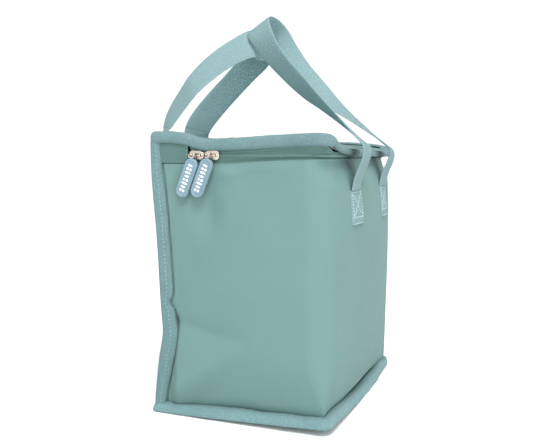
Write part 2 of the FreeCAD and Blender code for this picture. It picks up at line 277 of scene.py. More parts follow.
def puckers(u, z, length, seed):
    """Fine upright waves where a panel is gathered by the seam of the base."""
    return ripple(u, z * 2.5, length, seed) * (1 - ramp(z, 9, 26))


def side_form(y, z, left):
    """How far a side panel stands out of its plane."""
    across = np.sin(math.pi * np.clip((64.0 - y) / 150.0, 0, 1)) ** 0.8
    form = SWELL["side"] * curve(z, SIDE_RISE) * across
    form -= roll_in(z, curve(y, SIDE_ROLL), ROLL_DEPTH["side"])
    fold_z = WALL_TOP - curve(y, RIM_FOLD)
    form -= 1.3 * ramp(z, fold_z - 0.3, fold_z + 0.3)
    inside = band(z, 8, 20, 194, 203)
    from_seam = 62 - y
    form += 0.35 * ripple(y, z, 55.0, 1.3 + left) * inside * ramp(from_seam, 0, 20)
    form += 0.22 * puckers(y, z, 15.0, 4.1 + left) * inside
    form += 0.25 * ripple(y * 2.5, z, 17.0, 2.2 + left) * (1 - ramp(from_seam, 0, 18)) * inside
    if not left:
        return form + sum(crease(y, z, *line) for line in RIGHT_FOLDS)
    form -= 1.4 * hump(y, BACK_Y - curve(z, TAPE_WIDTH) - 0.2, 1.0)
    y = y + seam_shift(-HALF_W, y, z)
    form += facet(y, z)
    form += sum(crease(y, z, *line) for line in LEFT_FOLDS)
    form += sum(height * hump(y, at, wide) * hump(z, up, tall) for at, up, wide, tall, height in LEFT_BUMPS)
    return form - 1.8 * hump(y, 54, 3) * band(z, 14, 34, 62, 80)


def bulge(x):
    """How the swell of a wide panel falls off towards its corners."""
    return 1.0 - np.clip(np.abs(x) / HALF_W, 0, 1) ** 2


def front_form(x, z):
    """How far the front panel stands out of its plane."""
    form = SWELL["front"] * curve(z, FRONT_RISE) * bulge(x)
    depth = ROLL_DEPTH["front"] * (1.0 - 0.45 * ramp(x, -88, -40)) * (1.0 - 0.4 * ramp(x, 30, 100))
    form -= roll_in(z, curve(x, FRONT_ROLL), depth)
    form += (0.4 * ripple(x, z, 60.0, 2.7) + 0.25 * puckers(x, z, 16.0, 5.1)) * band(z, 8, 20, 194, 203)
    return form + sum(crease(x, z, *line) for line in FRONT_FOLDS)


def back_form(x, z):
    """How far the back panel stands out of its plane."""
    form = SWELL["back"] * curve(z, BACK_RISE) * bulge(x)
    form -= roll_in(z, 22.0, ROLL_DEPTH["back"])
    form += 0.5 * ripple(x, z, 60.0, 0.7) * band(z, 8, 20, 196, 210)
    return form + sum(crease(x, z, *line) for line in BACK_FOLDS)


def wall(s, z, depth=0.0, out=0.0):
    """A point of the softened walls, depth inward from the cloth's face or out proud of it."""
    s, z = np.broadcast_arrays(np.asarray(s, float), np.asarray(z, float))
    radius = BASE_CORNER_R + (CORNER_R - BASE_CORNER_R) * ramp(z, 0, 62)
    flat_x, flat_y = outline(s, 0.0, radius)[:2]
    front_share = band(s, 1, 2, 3, 4)
    side = np.where(s < 2.5, side_form(flat_y, z, True), side_form(flat_y, z, False))
    form = side * (1 - front_share) + front_form(flat_x, z) * front_share
    form = np.where(s >= 6, back_form(flat_x, z), form)
    tuck = ramp(z, 182, 204) * 0.8 * (front_share + hump(s, 1.6, 0.45) + hump(s, 3.4, 0.45))
    x, y = outline(s, form - RIM_TUCK * tuck + out - depth, radius)[:2]
    height = z + base_lift(x, y) * (1.0 - np.clip(z / 90.0, 0.0, 1.0))
    return np.stack([x, y + seam_shift(x, y, z), height], -1)


def lid_shift(x, y):
    """How far the soft lid's edge stands above or below its plain height."""
    left = curve(y, LEFT_EDGE) * np.exp(-(x + HALF_W) / 38.0)
    right = 0.7 * curve(y, LEFT_EDGE) * np.exp((x - HALF_W) / 38.0)
    front = curve(x, FRONT_EDGE) * np.exp(-(y - FRONT_Y) / 36.0)
    back = 1.2 * hump(x, 0, 50) * np.exp((y - BACK_Y) / 18.0)
    return left + right + front - back


# ---- mesh helpers ----
def make_mesh(name, points, faces, cloth=None):
    """A Blender object from points in millimetres, with its cloth coordinates for the weave."""
    points = np.asarray(points, float).reshape(-1, 3)
    mesh = bpy.data.meshes.new(name)
    mesh.from_pydata((points * MM).tolist(), [], [list(f) for f in faces])
    mesh.validate()
    if cloth is None:
        cloth = points
    cloth = np.asarray(cloth, float).reshape(len(points), -1)
    if cloth.shape[1] == 2:
        cloth = np.column_stack([cloth, np.zeros(len(cloth))])
    layer = mesh.attributes.new("cloth", "FLOAT_VECTOR", "POINT")
    layer.data.foreach_set("vector", cloth.astype(np.float32).ravel())
    mesh.polygons.foreach_set("use_smooth", [True] * len(mesh.polygons))
    piece = bpy.data.objects.new(name, mesh)
    bpy.context.scene.collection.objects.link(piece)
    return piece


def grid_faces(rows, columns, start=0, wrap_columns=False, flip=False):
    """Quads over a grid of points."""
    faces = []
    last = columns if wrap_columns else columns - 1
    for here in range(start, start + (rows - 1) * columns, columns):
        for c in range(last):
            d = (c + 1) % columns
            quad = (here + c, here + d, here + columns + d, here + columns + c)
            faces.append(quad[::-1] if flip else quad)
    return faces


def shell(name, outer, inner, cloth):
    """A closed sheet between two grids of points; both grids have the same rows and columns."""
    rows, columns = outer.shape[:2]
    second = rows * columns
    faces = grid_faces(rows, columns) + grid_faces(rows, columns, second, flip=True)
    rim = list(range(columns))
    rim += [r * columns + columns - 1 for r in range(1, rows)]
    rim += [(rows - 1) * columns + c for c in range(columns - 2, -1, -1)]
    rim += [r * columns for r in range(rows - 2, 0, -1)]
    faces += [(b, a, second + a, second + b) for a, b in zip(rim, rim[1:] + rim[:1])]
    points = np.concatenate([outer.reshape(-1, 3), inner.reshape(-1, 3)])
    return outward(make_mesh(name, points, faces, np.concatenate([cloth.reshape(-1, 2)] * 2)))


def capped_faces(count, around):
    """Faces of a tube of rings, with a cap at each end."""
    faces = grid_faces(count, around, wrap_columns=True)
    faces.append(tuple(range(around - 1, -1, -1)))
    faces.append(tuple((count - 1) * around + c for c in range(around)))
    return faces


def loft(name, rings, cloth=None, closed=False):
    """A solid through closed rings of points, joined end to end or capped."""
    count, around = rings.shape[:2]
    if cloth is None:
        cloth = np.zeros((count, around, 2))
    faces = capped_faces(count, around)
    if closed:
        last = (count - 1) * around
        faces = faces[:-2] + [(last + c, last + (c + 1) % around, (c + 1) % around, c) for c in range(around)]
    piece = outward(make_mesh(name, rings.reshape(-1, 3), faces, cloth.reshape(-1, 2)))
    if not closed:
        for cap in (-1, -2):
            piece.data.polygons[cap].use_smooth = False
    return piece


def outward(piece):
    """Turns every face of a closed mesh outward."""
    work = bmesh.new()
    work.from_mesh(piece.data)
    bmesh.ops.recalc_face_normals(work, faces=work.faces)
    work.to_mesh(piece.data)
    work.free()
    return piece


def scatter(name, shape, places):
    """One mesh made of a small shape repeated: places are (origin, 3 axes) in millimetres."""
    base, base_faces = shape
    points = [origin + base @ np.asarray(axes) for origin, axes in places]
    starts = range(0, len(points) * len(base), len(base))
    faces = [tuple(start + i for i in f) for start in starts for f in base_faces]
    return make_mesh(name, np.concatenate(points), faces)


def bead(around=6, stations=5, power=2.5):
    """A rounded rod of unit size along its first axis."""
    points = []
    for t in np.linspace(-1.0, 1.0, stations):
        radius = max((1.0 - abs(t) ** power) ** (1.0 / power), 0.12)
        for angle in np.linspace(0.0, math.tau, around, endpoint=False):
            points.append((t, radius * math.cos(angle), radius * math.sin(angle)))
    return np.array(points), capped_faces(stations, around)


def distances(points):
    """Distance of each point from the first, along a polyline."""
    steps = np.linalg.norm(np.diff(points, axis=0), axis=1)
    return np.concatenate([[0], np.cumsum(steps)])


def interpolate(at, source, values):
    """Rows of values, given at the places in source, read at other places."""
    return np.column_stack([np.interp(at, source, values[:, k]) for k in range(values.shape[1])])


def unit(vectors):
    return vectors / np.linalg.norm(vectors, axis=-1, keepdims=True)


def stitches(name, points, normal, pitch=3.2, length=2.2, width=0.75, height=0.5):
    """A row of thread stitches along a line of points, each half sunk in the cloth."""
    source = distances(points)
    at = np.linspace(0, source[-1], max(int(source[-1] / pitch), 2))
    even = interpolate(at, source, points)
    facing = interpolate(at, source, normal)
    places = []
    for p, t, n in zip(even, unit(np.gradient(even, axis=0)), facing):
        n = unit(n - t * np.dot(n, t))
        places.append((p, (t * length / 2, np.cross(t, n) * width / 2, n * height)))
    return scatter(name, bead(), places)


# ---- materials ----
def shade(colour, factor):
    return tuple(min(c * factor, 1.0) for c in colour)


class Material:
    """A procedural material: small helpers round one node tree."""

    def __init__(self, name, roughness, metallic=0.0):
        self.material = bpy.data.materials.new(name)
        self.material.use_nodes = True
        self.tree = self.material.node_tree
        self.shader = self.tree.nodes["Principled BSDF"]
        self.shader.inputs["Roughness"].default_value = roughness
        self.shader.inputs["Metallic"].default_value = metallic

    def node(self, kind, **inputs):
        node = self.tree.nodes.new(kind)
        for name, value in inputs.items():
            self.feed(node.inputs[name.replace("_", " ")], value)
        return node

    def feed(self, socket, value):
        if isinstance(value, bpy.types.NodeSocket):
            self.tree.links.new(value, socket)
        else:
            socket.default_value = value

    def math(self, operation, a, b=0.0):
        node = self.tree.nodes.new("ShaderNodeMath")
        node.operation = operation
        self.feed(node.inputs[0], a)
        self.feed(node.inputs[1], b)
        return node.outputs[0]

    def cloth(self):
        """Cloth coordinates in millimetres: along and across the weave."""
        node = self.tree.nodes.new("ShaderNodeAttribute")
        node.attribute_name = "cloth"
        split = self.node("ShaderNodeSeparateXYZ", Vector=node.outputs["Vector"])
        return node.outputs["Vector"], split.outputs["X"], split.outputs["Y"]

    def place(self):
        """Object coordinates in metres."""
        return self.tree.nodes.new("ShaderNodeTexCoord").outputs["Object"]

    def noise(self, vector, scale, detail=3.0, rough=0.55):
        node = self.node("ShaderNodeTexNoise", Vector=vector, Scale=scale, Detail=detail, Roughness=rough)
        return node.outputs["Fac"]

    def wave(self, position, pitch):
        """A sine from -1 to 1 with the given pitch."""
        return self.math("SINE", self.math("MULTIPLY", position, math.tau / pitch))

    def spread(self, value, low, high, to_low=0.0, to_high=1.0):
        """Maps low to high onto another range."""
        node = self.node("ShaderNodeMapRange", Value=value, From_Min=low, From_Max=high,
                         To_Min=to_low, To_Max=to_high)
        return node.outputs["Result"]

    def mix(self, factor, a, b):
        node = self.tree.nodes.new("ShaderNodeMix")
        node.data_type = "RGBA"
        self.feed(node.inputs["Factor"], factor)
        self.feed(node.inputs["A"], (*a, 1.0) if isinstance(a, tuple) else a)
        self.feed(node.inputs["B"], (*b, 1.0) if isinstance(b, tuple) else b)
        return node.outputs["Result"]

    def bump(self, height, strength, distance):
        node = self.node("ShaderNodeBump", Height=height, Strength=strength, Distance=distance)
        return node.outputs["Normal"]

    def let_light_through(self, colour, normal, share):
        """Thin cloth: a share of the light comes through from behind."""
        glow = self.node("ShaderNodeBsdfTranslucent", Color=colour, Normal=normal)
        both = self.node("ShaderNodeMixShader", Fac=share)
        self.feed(both.inputs[1], self.shader.outputs["BSDF"])
        self.feed(both.inputs[2], glow.outputs["BSDF"])
        self.feed(self.tree.nodes["Material Output"].inputs["Surface"], both.outputs["Shader"])

    def finish(self, colour, normal, roughness=None):
        self.feed(self.shader.inputs["Base Color"], colour)
        self.feed(self.shader.inputs["Normal"], normal)
        if roughness is not None:
            self.feed(self.shader.inputs["Roughness"], roughness)
        return self.material


def woven(name, colour, pitch, weave_depth, sheen=0.04, roughness=0.7, kind="plain", mottle=0.10, slub=0.5,
          fuzz=0.0, contrast=0.28, glow=0.0):
    """Cloth with its weave, slubs, slight colour variation and a soft sheen."""
    m = Material(name, roughness)
    m.shader.inputs["Sheen Weight"].default_value = sheen
    m.shader.inputs["Sheen Roughness"].default_value = 0.45
    m.shader.inputs["Specular IOR Level"].default_value = 0.18
    vector, u, v = m.cloth()
    if kind == "plain":
        weave = m.math("MULTIPLY", m.wave(u, pitch * 2), m.wave(v, pitch * 2))
    elif kind == "twill":
        weave = m.wave(m.math("ADD", u, v), pitch)
    else:
        weave = m.math("ADD", m.wave(u, pitch), m.math("MULTIPLY", m.wave(v, pitch * 0.45), 0.45))
    stretched = m.node("ShaderNodeVectorMath", Vector=vector)
    stretched.operation = "MULTIPLY"
    stretched.inputs[1].default_value = (0.35, 0.02, 1.0)
    streaks = m.noise(stretched.outputs[0], 1.0, 4.0, 0.6)
    blotch = m.noise(m.place(), 22.0, 4.0, 0.6)
    fibre = m.noise(m.place(), 1900.0, 2.0, 0.7)
    patches = m.spread(blotch, 0.3, 0.7)
    tone = m.mix(patches, shade(colour, 1.0 - mottle), shade(colour, 1.0 + mottle))
    tone = m.mix(m.spread(streaks, 0.35, 0.65, 0.0, 0.35 * slub), tone, shade(colour, 1.12))
    tone = m.mix(m.spread(weave, -1.0, 1.0, contrast, 0.0), tone, shade(colour, 0.72))
    tufts = m.noise(m.place(), 560.0, 4.0, 0.7)
    tone = m.mix(m.spread(tufts, 0.38, 0.62, fuzz, 0.0), tone, shade(colour, 0.70))
    tone = m.mix(m.spread(tufts, 0.55, 0.72, 0.0, fuzz), tone, shade(colour, 1.40))
    height = m.math("ADD", m.math("MULTIPLY", weave, 0.5), m.math("MULTIPLY", fibre, 0.15))
    height = m.math("ADD", height, m.math("MULTIPLY", tufts, 6.0 * fuzz))
    normal = m.bump(height, 0.55, weave_depth * MM)
    rough = m.spread(fibre, 0.3, 0.7, roughness - 0.06, roughness + 0.08)
    if glow:
        m.let_light_through(tone, normal, glow)
    return m.finish(tone, normal, rough)


def foil(name):
    """Crinkled aluminium laminate."""
    m = Material(name, 0.3, 0.9)
    cells = m.node("ShaderNodeTexVoronoi", Vector=m.place(), Scale=95.0)
    cells.feature = "DISTANCE_TO_EDGE"
    creases = m.spread(cells.outputs["Distance"], 0.0, 0.2)
    crinkle = m.math("ADD", creases, m.noise(m.place(), 160.0, 5.0))
    tone = m.mix(m.noise(m.place(), 40.0), (0.62, 0.64, 0.66), (0.80, 0.81, 0.82))
    rough = m.spread(m.noise(m.place(), 300.0), 0.3, 0.7, 0.24, 0.42)
    return m.finish(tone, m.bump(crinkle, 0.6, 0.0009), rough)


def metal(name, colour):
    """Plated zinc with fine wear, and painted shade darkening it where its faces turn from the view."""
    m = Material(name, 0.28, 1.0)
    worn = m.noise(m.place(), 700.0, 4.0)
    tone = m.mix(m.spread(worn, 0.35, 0.7), colour, shade(colour, 0.72))
    # painted shade: the colour darkens towards edges that face away from the view
    facing = m.node("ShaderNodeLayerWeight", Blend=0.35)
    tone = m.mix(m.spread(facing.outputs["Facing"], 0.05, 0.55, 0.0, 0.92), tone, shade(colour, 0.16))
    return m.finish(tone, m.bump(worn, 0.25, 0.00008), m.spread(worn, 0.3, 0.7, 0.2, 0.42))


def rubber(name, colour, roughness=0.48):
    """Soft moulded rubber with a fine matt skin."""
    m = Material(name, roughness)
    m.shader.inputs["Subsurface Weight"].default_value = 0.08
    m.shader.inputs["Subsurface Scale"].default_value = 0.002
    skin = m.noise(m.place(), 2400.0, 2.0)
    dust = m.noise(m.place(), 130.0, 4.0)
    tone = m.mix(m.spread(dust, 0.3, 0.7), shade(colour, 0.93), shade(colour, 1.06))
    rough = m.spread(dust, 0.3, 0.7, roughness - 0.06, roughness + 0.08)
    return m.finish(tone, m.bump(skin, 0.25, 0.00008), rough)


def plastic_coil(name, colour):
    """Nylon zipper coil."""
    m = Material(name, 0.42)
    drift = m.noise(m.place(), 400.0, 3.0)
    tone = m.mix(drift, shade(colour, 0.9), shade(colour, 1.08))
    return m.finish(tone, m.bump(drift, 0.2, 0.0001))


SHELL = (0.121, 0.219, 0.209)
BINDING = (0.138, 0.236, 0.246)
WEBBING = (0.320, 0.472, 0.488)
TAPE = (0.090, 0.178, 0.158)
PULL = (0.150, 0.238, 0.285)
# painted shade: the tab's colour is the shell cloth darkened to stand in for the shade under the lid
SHADED_TAB = (0.076, 0.146, 0.136)
COIL = (0.115, 0.235, 0.205)
NICKEL = (0.78, 0.70, 0.60)
MARK = (0.86, 0.87, 0.87)


def twill_tape(name, colour):
    """Brushed binding tape."""
    return woven(name, colour, 0.9, 0.45, sheen=0.10, roughness=0.9, kind="twill", mottle=0.08, fuzz=0.4)


def thread(name, colour):
    """Sewing thread."""
    return woven(name, colour, 0.5, 0.10, kind="twill", mottle=0.04)


shell_cloth = woven("shell_cloth", SHELL, 0.45, 0.10, mottle=0.03)
base_cloth = woven("base_cloth", shade(SHELL, 0.94), 0.6, 0.14, roughness=0.78)
binding_twill = twill_tape("binding_twill", BINDING)
# painted light: the base tape's binding colour is lightened to stand in for light on its top face
base_twill = twill_tape("base_twill", shade(BINDING, 1.2))
# painted shade: a darker copy of the shell cloth for the tab under the lid
tab_cloth_painted_shade = woven("tab_cloth_painted_shade", SHADED_TAB, 0.45, 0.10, mottle=0.03)
webbing_rib = woven("webbing_rib", WEBBING, 1.8, 0.22, sheen=0.06, kind="rib", mottle=0.04, slub=0.2,
                    contrast=0.40, glow=0.45)
zipper_weave = woven("zipper_weave", TAPE, 0.8, 0.20, kind="twill", mottle=0.06)
stitch_thread = thread("stitch_thread", shade(BINDING, 1.55))
tack_thread = thread("tack_thread", shade(BINDING, 0.35))
webbing_thread = thread("webbing_thread", shade(WEBBING, 1.30))
foil_lining = foil("foil_lining")
nickel = metal("nickel", NICKEL)
pull_rubber = rubber("pull_rubber", PULL)
pull_mark = rubber("pull_mark", MARK, 0.55)
coil_nylon = plastic_coil("coil_nylon", COIL)


def dress(piece, material, body=None):
    """Gives a piece its material and slot, and lets it ride on a body."""
    piece.data.materials.append(material)
    if body:
        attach(piece, body)


def plate_metal(node):
    """Gives a metal CAD part its plated look."""
    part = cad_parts[node]
    part.data.materials.clear()
    part.data.materials.append(nickel)
    return part


# ---- walls, base and lining ----
def plan_lengths(s_values, front_r=CORNER_R, back_r=0.5):
    """Millimetres along the plan at each s, for the weave."""
    x, y = outline(s_values, 0.0, front_r, back_r)[:2]
    return distances(np.stack([x, y], -1))


def wall_weave(s_values, z):
    """Cloth coordinates of a grid of points on the walls."""
    return np.stack(np.broadcast_arrays(plan_lengths(s_values), z), -1)


def spans(*parts):
    """Values of s from (start, end, count) parts."""
    values = [np.linspace(a, b, n, endpoint=False) for a, b, n in parts]
    return np.append(np.concatenate(values), parts[-1][1])


def wall_shell(name, s_values, z_outer, z_inner, nodes):
    """A padded wall between its outer cloth and the lining."""
    outer = wall(s_values, z_outer[:, None])
    inner = wall(s_values, z_inner[:, None], depth=WALL)
    piece = shell(name, outer, inner, wall_weave(s_values, z_outer[:, None]))
    dress(piece, shell_cloth, "bag")
    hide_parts(*nodes)


def make_walls():
    foot, middle, top = (0, 0.22, 34), (0.23, 0.93, 52), (0.935, 1, 26)
    levels = np.concatenate([np.linspace(*part) for part in (foot, middle, top)])
    s_start = (BACK_Y - foam_high[1]) / (BACK_Y - FRONT_Y - CORNER_R)
    around = spans((s_start, 0.2, 44), (0.2, 1, 60), (1, 2, 18), (2, 3, 70), (3, 4, 18), (4, 5 - s_start, 52))
    across = spans((6.0, 7.0, 60))
    z_outer = wrap_low[2] + (WALL_TOP - wrap_low[2]) * levels
    z_inner = BASE_TOP + (foam_high[2] - BASE_TOP) * levels
    wall_shell("wrap_shell", around, z_outer, z_inner, ("wrap_panel", "wrap_foam"))
    z_outer = back_low[2] + (back_high[2] - back_low[2]) * levels
    z_inner = BASE_TOP + (back_high[2] - BASE_TOP) * levels
    wall_shell("back_shell", across, z_outer, z_inner, ("back_panel", "back_foam"))


def plan_sheet(name, z_top, z_bottom, inset, dome=0.0):
    """A closed flat layer over the base's plan."""
    v = np.linspace(0, 1, 24)[:, None]
    u = np.linspace(-1, 1, 40)
    y = FRONT_Y + inset + (BACK_Y - FRONT_Y - 2 * inset) * v + 0 * u
    drop = np.clip(FRONT_Y + BASE_CORNER_R - y, 0, BASE_CORNER_R)
    half = HALF_W - inset - BASE_CORNER_R + np.sqrt(np.maximum(BASE_CORNER_R**2 - drop**2, 0))
    x = u * half
    lift = base_lift(x, y)
    low = np.stack([x, y, z_bottom + lift], -1)
    top = np.stack([x, y, z_top + dome * (1 - u**2) * (1 - (2 * v - 1) ** 2) + lift], -1)
    return shell(name, top, low, low[..., :2])


def make_base():
    base = plan_sheet("base_shell", BASE_TOP, 0.35, 5.2)
    dress(base, base_cloth, "bag")
    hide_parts("base_panel", "base_foam")
    lining = plan_sheet("base_foil", BASE_TOP + LINING, BASE_TOP + 0.02, WALL + 4.0, dome=1.2)
    dress(lining, foil_lining, "bag")
    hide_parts("base_lining")


def make_wall_lining():
    """The foil box that lines the four walls, in two closed sheets."""
    around = spans((0.05, 1, 40), (1, 2, 10), (2, 3, 48), (3, 4, 10), (4, 4.95, 40))
    across = spans((6.03, 6.97, 50))
    for name, s_values, node in (("wall_foil", around, "wrap_lining"), ("back_foil", across, "back_lining")):
        z = np.linspace(BASE_TOP + LINING, box_mm(node)[1][2], 60)[:, None]
        weave = wall_weave(s_values, z)
        crinkle = 0.5 * ripple(weave[..., 0], weave[..., 1], 26.0, 3.3)
        face = wall(s_values, z, depth=WALL + 0.1)
        inner = wall(s_values, z, depth=WALL + LINING + 0.1 + 0.35 * (1 + crinkle))
        piece = shell(name, face, inner, weave)
        dress(piece, foil_lining, "bag")
        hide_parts(node)


# ---- bindings ----
def section_normals(path):
    """Outward side of each point of a flat polyline (its left side)."""
    tangent = unit(np.gradient(path, axis=0))
    return np.stack([-tangent[:, 1], tangent[:, 0]], -1)


def tape_section(face, thickness):
    """A folded tape's closed section from the line of its outer face: (offset, height) pairs."""
    path = spline(face, 19)
    back = path - section_normals(path) * thickness
    return np.concatenate([path, back[::-1]])


def bound_tape(name, rings, length, pitch, material, body, seam):
    """A binding tape through its rings, and the row of stitches along one line of its outer face.

    seam is the index of that line and of one behind it.  An upright tape has two ends, and no stitches there.
    """
    weave = np.stack(np.broadcast_arrays(length[:, None], np.arange(rings.shape[1]) * pitch), -1)
    upright = name.startswith("corner")
    piece = loft(name, rings, weave, closed=not upright)
    dress(piece, material, body)
    sewn = rings[3:-6] if upright else np.concatenate([rings, rings[:1]])
    row_name = name.replace("tape", "stitches" if upright else "tape_stitches")
    row = stitches(row_name, sewn[:, seam[0]], sewn[:, seam[0]] - sewn[:, seam[1]])
    dress(row, stitch_thread, body)
    return piece, row


def base_tape():
    """The bound seam round the base, which stands out like a small skirt."""
    s = np.linspace(0, 8, 720, endpoint=False)
    face = ((-6.0, 0.2), (2.0, -0.3), (3.4, 0.0), (3.6, 0.4), (3.2, 2.4), (2.0, 4.8), (0.2, 6.3),
            (-0.4, 6.6), (-5.6, 6.9))
    out, z = tape_section(face, 0.9).T
    share = z / 7.0
    length = plan_lengths(s, LID_CORNER_R, 3.0)
    u = length[:, None]
    wave = ripple(u, 0.0, 23.0, 2.0)
    fuzz = ripple(u, 0.0, 6.0, 5.0)
    out = out * (1.0 + 0.10 * ripple(u, 3.0, 27.0, 4.0)) + share * (0.7 * wave + 0.2 * fuzz)
    z = z * (0.94 + 0.10 * ripple(u, 0.0, 38.0, 1.0)) + share * (0.5 * wave + 0.25 * fuzz)
    x0 = outline(s, 0.0, BASE_CORNER_R, 2.5)[0][:, None]
    out = np.where(out > 0, out * (1.0 - 0.6 * ramp(x0, 30.0, 96.0)), out)
    x, y = outline(s[:, None] + 0 * out, out, BASE_CORNER_R, 2.5)[:2]
    rings = np.stack([x, y + seam_shift(x, y, z), np.maximum(z, 0.0) + base_lift(x, y)], -1)
    # the base tape wears the lightened binding, which is painted light
    piece = bound_tape("base_tape", rings, length, 0.9, base_twill, "bag", (12, 25))[0]
    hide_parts("base_binding")


def lid_tape():
    """The bound edge of the lid, all the way round."""
    s = np.linspace(0, 8, 900, endpoint=False)
    face = ((0.2, -5.6), (1.4, -5.9), (2.0, -5.0), (2.3, -2.6), (2.0, -0.4), (1.0, 1.1), (-1.0, 1.8),
            (-6.0, 1.2), (-7.0, 0.2))
    out, z = tape_section(face, 1.0).T
    length = plan_lengths(s, LID_CORNER_R, 3.0)
    u = length[:, None]
    wobble = 0.5 * ripple(u, 0.0, 24.0, 3.0) + 0.4 * ripple(u, 0.0, 8.0, 1.0)
    out = out + 0.4 * ripple(u, 5.0, 19.0, 6.0)
    rolled = 1.0 - 0.38 * band(s[:, None], 1.7, 2.15, 2.95, 3.3)
    sag = lid_shift(*outline(s, 0.0, LID_CORNER_R, 4.0)[:2])[:, None]
    x, y = outline(s[:, None] + 0 * out, out, LID_CORNER_R, 4.0)[:2]
    rings = np.stack([x, y, LID_TOP + z * rolled * (1.0 + 0.05 * wobble) + 0.4 * wobble + sag], -1)
    piece, row = bound_tape("lid_tape", rings, length, 1.0, binding_twill, None, (5, 32))
    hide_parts("lid_binding", "rear_binding")
    blend_lid(piece)
    blend_lid(row)
    tack(rings[s < 1.0])


def tack(rings):
    """A few dark stitches across the lid's tape, where the two ends of its thread are tied off."""
    middle = rings[:, 4]
    centre = middle[np.argmin(np.abs(middle[:, 1] - TACK_Y))]
    out = np.array([-1.0, 0.0, 0.0])
    places = []
    for tilt in (-0.9, -0.3, 0.5, 1.1):
        lie = np.array([0.0, math.cos(tilt), math.sin(tilt)])
        places.append((centre + lie * tilt, (lie * 1.5, np.cross(lie, out) * 0.35, out * 0.5)))
    dress(scatter("lid_tack", bead(), places), tack_thread, "lid")


def blend_lid(piece):
    """Bakes a piece's placement into its mesh."""
    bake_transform(piece)


def corner_tape(name, side):
    """The folded tape up one back corner; the left one is nicked where the panel puckers."""
    z_values = np.linspace(3.0, box_mm("corner_binding_" + name)[1][2] + 7.0, 260)
    rings = []
    for z in z_values:
        width = curve(z, TAPE_WIDTH) if side < 0 else 9.5 + 0.8 * ripple(z, 0.0, 60.0, 2.0)
        width = width + 0.4 * ripple(z, 0.0, 19.0, 2.0 + side) + 0.25 * ripple(z, 0.0, 6.0, 1.0)
        puff = 0.45 * ripple(z, 0.0, 21.0, 1.0 + side) + 0.15 * ripple(z, 0.0, 6.0, 4.0)
        face = ((width, -0.4), (width, 1.1), (width - 1.4, 1.7 + puff), (0.6, 2.0 + puff), (-1.4, 1.7),
                (-2.0, 0.0), (-1.9 - puff, -4.0), (-1.0, 0.6 - width), (-0.2, -width))
        ring = tape_section(face, -0.9)
        x = side * (HALF_W + ring[:, 1])
        y = BACK_Y - ring[:, 0]
        rings.append(np.stack([x, y + seam_shift(x, y, z), np.full(len(x), z)], -1))
    rings = np.array(rings)
    piece = bound_tape("corner_tape_" + name, rings, z_values, 1.1, binding_twill, "bag", (5, 32))[0]
    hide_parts("corner_binding_" + name)


# ---- lid ----
def lid_grid(z_plain, inset, crown, groove=0.0, follow=1.0):
    """A layer of the lid: rows run from front to back, and it follows a share of the edge's sag."""
    v = np.linspace(0, 1, 72)[:, None]
    spread = math.pi / 2 * 0.94
    u = np.sin(np.linspace(-1, 1, 84) * spread) / math.sin(spread)
    y = FRONT_Y + inset + (BACK_Y - FRONT_Y - 2 * inset) * v + 0 * u
    radius = LID_CORNER_R - inset
    drop = np.clip(FRONT_Y + inset + radius - y, 0, radius)
    x = u * (HALF_W - inset - radius + np.sqrt(np.maximum(radius**2 - drop**2, 0.01)))
    dome = (1 - np.abs(u) ** 3) * (1 - np.abs(2 * v - 1) ** 3)
    puff = crown * dome * (1 + 0.06 * ripple(x, y, 46.0, 1.1))
    z = z_plain + puff + follow * lid_shift(x, y) - groove * hump(y, CREASE_Y, 1.8)
    return np.stack([x, y, z], -1)


def make_lid():
    crown = LID_CROWN * 0.7
    top = lid_grid(LID_TOP, LID_INSET, LID_CROWN, groove=1.4)
    under = lid_grid(LID_BOTTOM + 1.0, LID_INSET, crown, follow=0.7)
    pad = shell("lid_pad", top, under, top[..., :2])
    dress(pad, shell_cloth)
    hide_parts("lid_panel", "lid_foam", "rear_strip_panel", "rear_strip_foam")
    blend_lid(pad)
    face = lid_grid(LID_BOTTOM + 0.9, LID_INSET + 0.6, crown, follow=0.7)
    under = lid_grid(LID_BOTTOM + 0.8 - LINING, LID_INSET + 0.6, crown, follow=0.7)
    under[..., 2] -= 0.25 * (1 + ripple(face[..., 0], face[..., 1], 26.0, 2.0))
    sheet = shell("lid_foil", face, under, face[..., :2])
    dress(sheet, foil_lining)
    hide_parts("lid_lining", "rear_strip_lining")
    blend_lid(sheet)


# ---- zipper ----
def rim(s, z, depth, out=0.0):
    """A point of the zipper band, which follows the rim of the wall."""
    point = wall(s, np.minimum(z, WALL_TOP), depth=depth, out=out)
    point[..., 2] = z
    return point


def s_at(y):
    """s of a place on the left side."""
    return (BACK_Y - 0.5 - y) / (BACK_Y - 0.5 - FRONT_Y - CORNER_R)


def ribbon(name, s_values, z0, z1, depth, thickness, body, slant=0.0):
    """A thin upright strip of zipper tape along the rim, which may lean out towards its top."""
    share = np.linspace(0, 1, 44)[:, None]
    z = z0 + (z1 - z0) * share + 0 * s_values
    ribs = 0.45 * sum(hump(share, middle, 0.05) for middle in (0.16, 0.38, 0.60, 0.82))
    corners = hump(s_values, 1.5, 0.5) + hump(s_values, 3.5, 0.5)
    lean = slant + 3.4 * corners * (slant > 0)
    outer = rim(s_values, z, depth, ribs + lean * share**2)
    inner = rim(s_values, z, depth + thickness, lean * share**2)
    piece = shell("zip_tape_" + name, outer, inner, wall_weave(s_values, z))
    dress(piece, zipper_weave, body)
    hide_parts("zipper_tape_" + name)


def zip_path(y_left, y_right):
    """s from one end of the zipper on the left side, round the front, to the other end."""
    start, end = s_at(y_left), 5 - s_at(y_right)
    return spans((start, 1, 60), (1, 2, 18), (2, 3, 70), (3, 4, 18), (4, end, 60))


